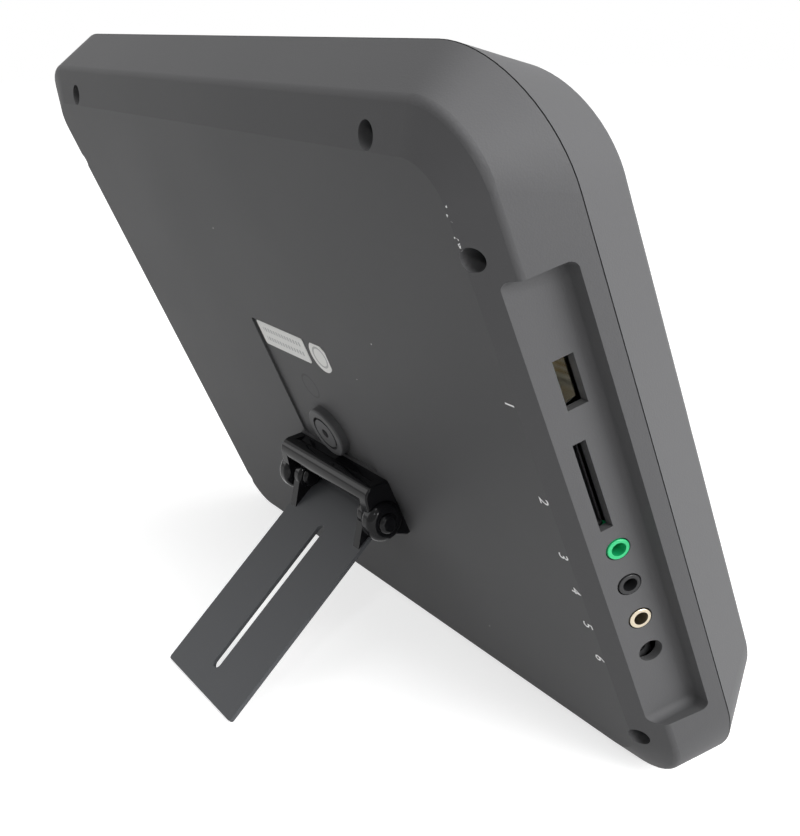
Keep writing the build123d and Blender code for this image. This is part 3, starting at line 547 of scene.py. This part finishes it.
class PrintBack(bpy.types.Operator):
    """Finishes the stickers and prints a number beside each socket."""

    bl_idname = "photo_frame.print_back"
    bl_label = "Print Back"

    def execute(self, context):
        finish = context.scene.frame_finish
        sizes = context.scene.trim_sizes
        dress(["label_sticker"], self.label_paper(finish.paper_colour))
        paper = surface("Sticker paper", finish.paper_colour, 0.6, 0.05, 0.3 * MM, 0.04)
        dress(["round_sticker"], add_ring(paper, *STICKER_RING, 0.6, GREY_INK))
        ink = surface("White ink", finish.print_colour, 0.5, 0.0, cloud=0.04)
        for number, height in enumerate(SOCKET_HEIGHTS, start=1):
            text = bpy.data.curves.new("Number", "FONT")
            text.body = str(number)
            text.size = sizes.number_height / NUMERAL_SHARE
            text.align_x = "CENTER"
            text.extrude = sizes.ink_thickness / 2
            holder = bpy.data.objects.new("Number", text)
            context.scene.collection.objects.link(holder)
            graph = context.evaluated_depsgraph_get()
            mesh = bpy.data.meshes.new_from_object(holder.evaluated_get(graph))
            bpy.data.objects.remove(holder)
            seat = Matrix((
                (0, -1, 0, -sizes.number_x),
                (-1, 0, 0, height),
                (0, 0, -1, -sizes.ink_thickness / 2),
                (0, 0, 0, 1),
            ))
            place_mesh(f"number_{number}", mesh, PANEL @ seat, ink, "case")
        return {"FINISHED"}

    def label_paper(self, colour):
        """White paper with two rows of short grey bars."""
        material = surface("Label paper", colour, 0.6, 0.05, 0.3 * MM, 0.04)
        tree = material.node_tree
        place = panel_place(tree, tree.nodes.new("ShaderNodeTexCoord").outputs["Object"])
        height = distance(tree, place["Y"], STICKER_HEIGHT)
        row = math_node(tree, "LESS_THAN", distance(tree, height, LABEL_ROW), LABEL_ROW_HALF)
        inside = math_node(tree, "LESS_THAN", distance(tree, place["X"], LABEL_MIDDLE), LABEL_HALF)
        stroke = math_node(tree, "SINE", math_node(tree, "MULTIPLY", place["X"], BAR_WAVE))
        bars = math_node(tree, "GREATER_THAN", stroke, BAR_CUT)
        printed = math_node(tree, "MULTIPLY", math_node(tree, "MULTIPLY", row, inside), bars)
        return lay_over(material, math_node(tree, "MULTIPLY", printed, 0.55), GREY_INK)


class SetStage(bpy.types.Operator):
    """Adds the pale floor, the lights and the camera."""

    bl_idname = "photo_frame.set_stage"
    bl_label = "Set Stage"

    def execute(self, context):
        scene = context.scene
        scene.view_settings.view_transform = "Standard"
        self.floor(scene)
        self.world(scene)
        for name, place, size, power in LAMPS:
            self.lamp(scene, name, place, size, power)
        self.camera(scene)
        return {"FINISHED"}

    def camera(self, scene):
        """The camera, from its place and its directions on the panel's axes."""
        lens = bpy.data.cameras.new("Photo camera")
        lens.sensor_fit = "VERTICAL"
        lens.sensor_height = SENSOR
        lens.lens = FOCAL_ROWS / PICTURE_ROWS * SENSOR
        lens.shift_y = -DROP_ROWS / PICTURE_ROWS
        camera = bpy.data.objects.new("Photo camera", lens)
        ahead = CAMERA_AHEAD.normalized()
        side = CAMERA_SIDE.normalized()
        up = side.cross(ahead).normalized()
        turn = Matrix((side, up, -ahead)).transposed().to_4x4()
        camera.matrix_world = PANEL @ Matrix.Translation(CAMERA_PLACE) @ turn
        scene.collection.objects.link(camera)
        scene.camera = camera

    def seen(self, tree):
        """One for camera rays and for rays from gloss and glass, and nought for the light itself."""
        path = tree.nodes.new("ShaderNodeLightPath")
        gloss, glass, eye = (path.outputs[f"Is {ray} Ray"] for ray in ("Glossy", "Transmission", "Camera"))
        return math_node(tree, "MAXIMUM", eye, math_node(tree, "MAXIMUM", gloss, glass))

    def floor(self, scene):
        """A floor that is white to the eye and keeps the part's shadow."""
        mesh = bpy.data.meshes.new("Floor")
        corners = [(x * FLOOR_HALF, y * FLOOR_HALF, 0) for x, y in ((-1, -1), (1, -1), (1, 1), (-1, 1))]
        mesh.from_pydata(corners, [], [(0, 1, 2, 3)])
        floor = bpy.data.objects.new("Floor", mesh)
        scene.collection.objects.link(floor)
        material = bpy.data.materials.new("White floor")
        material.use_nodes = True
        tree = material.node_tree
        shader = tree.nodes["Principled BSDF"]
        shader.inputs["Base Color"].default_value = (0.5, 0.5, 0.5, 1.0)
        shader.inputs["Roughness"].default_value = 0.9
        shader.inputs["Specular IOR Level"].default_value = 0.0
        glow = tree.nodes.new("ShaderNodeEmission")
        away = tree.nodes.new("ShaderNodeVectorMath")
        away.operation = "LENGTH"
        tree.links.new(tree.nodes.new("ShaderNodeTexCoord").outputs["Object"], away.inputs[0])
        fade = ramp(tree, away.outputs["Value"], GLOW_NEAR, GLOW_FAR)
        fade.node.inputs["To Min"].default_value = GLOW_LEAST
        strength = math_node(tree, "MULTIPLY", self.seen(tree), fade)
        tree.links.new(strength, glow.inputs["Strength"])
        both = tree.nodes.new("ShaderNodeAddShader")
        tree.links.new(shader.outputs["BSDF"], both.inputs[0])
        tree.links.new(glow.outputs["Emission"], both.inputs[1])
        tree.links.new(both.outputs["Shader"], tree.nodes["Material Output"].inputs["Surface"])
        mesh.materials.append(material)

    def world(self, scene):
        """A white studio to the eye, that lights the part softly."""
        world = bpy.data.worlds.new("White studio")
        scene.world = world
        world.use_nodes = True
        tree = world.node_tree
        light = tree.nodes["Background"]
        strength = ramp(tree, self.seen(tree), 0.0, 1.0)
        strength.node.inputs["To Min"].default_value = WORLD_LIGHT
        tree.links.new(strength, light.inputs["Strength"])
        light.inputs["Color"].default_value = (1.0, 1.0, 1.0, 1.0)

    def lamp(self, scene, name, place, size, power):
        """An area lamp that looks at the part."""
        light = bpy.data.lights.new(name, "AREA")
        light.energy = power
        light.size = size
        lamp = bpy.data.objects.new(name, light)
        aim = LAMP_TARGET - Vector(place)
        lamp.matrix_world = Matrix.Translation(place) @ aim.to_track_quat("-Z", "Y").to_matrix().to_4x4()
        scene.collection.objects.link(lamp)


class PhotoFramePanel(bpy.types.Panel):
    """Lists the steps that finish the photo frame."""

    bl_idname = "VIEW3D_PT_photo_frame"
    bl_label = "Photo Frame"
    bl_space_type = "VIEW_3D"
    bl_region_type = "UI"
    bl_category = "Photo Frame"

    def draw(self, context):
        for values in (context.scene.frame_finish, context.scene.trim_sizes):
            for key in values.bl_rna.properties.keys():
                if key not in {"rna_type", "name"}:
                    self.layout.prop(values, key)
        for step in STEPS:
            self.layout.operator(step.bl_idname)


STEPS = (FinishCase, FinishStand, FinishSockets, FinishInsides, PrintBack, SetStage)
CLASSES = (FrameFinish, TrimSizes, *STEPS, PhotoFramePanel)


def register():
    for cls in CLASSES:
        bpy.utils.register_class(cls)
    bpy.types.Scene.frame_finish = PointerProperty(type=FrameFinish)
    bpy.types.Scene.trim_sizes = PointerProperty(type=TrimSizes)


def unregister():
    del bpy.types.Scene.trim_sizes
    del bpy.types.Scene.frame_finish
    for cls in reversed(CLASSES):
        bpy.utils.unregister_class(cls)


def main():
    register()
    bpy.ops.photo_frame.finish_case()
    bpy.ops.photo_frame.finish_stand()
    bpy.ops.photo_frame.finish_sockets()
    bpy.ops.photo_frame.finish_insides()
    bpy.ops.photo_frame.print_back()
    bpy.ops.photo_frame.set_stage()


if __name__ == "__main__":
    main()
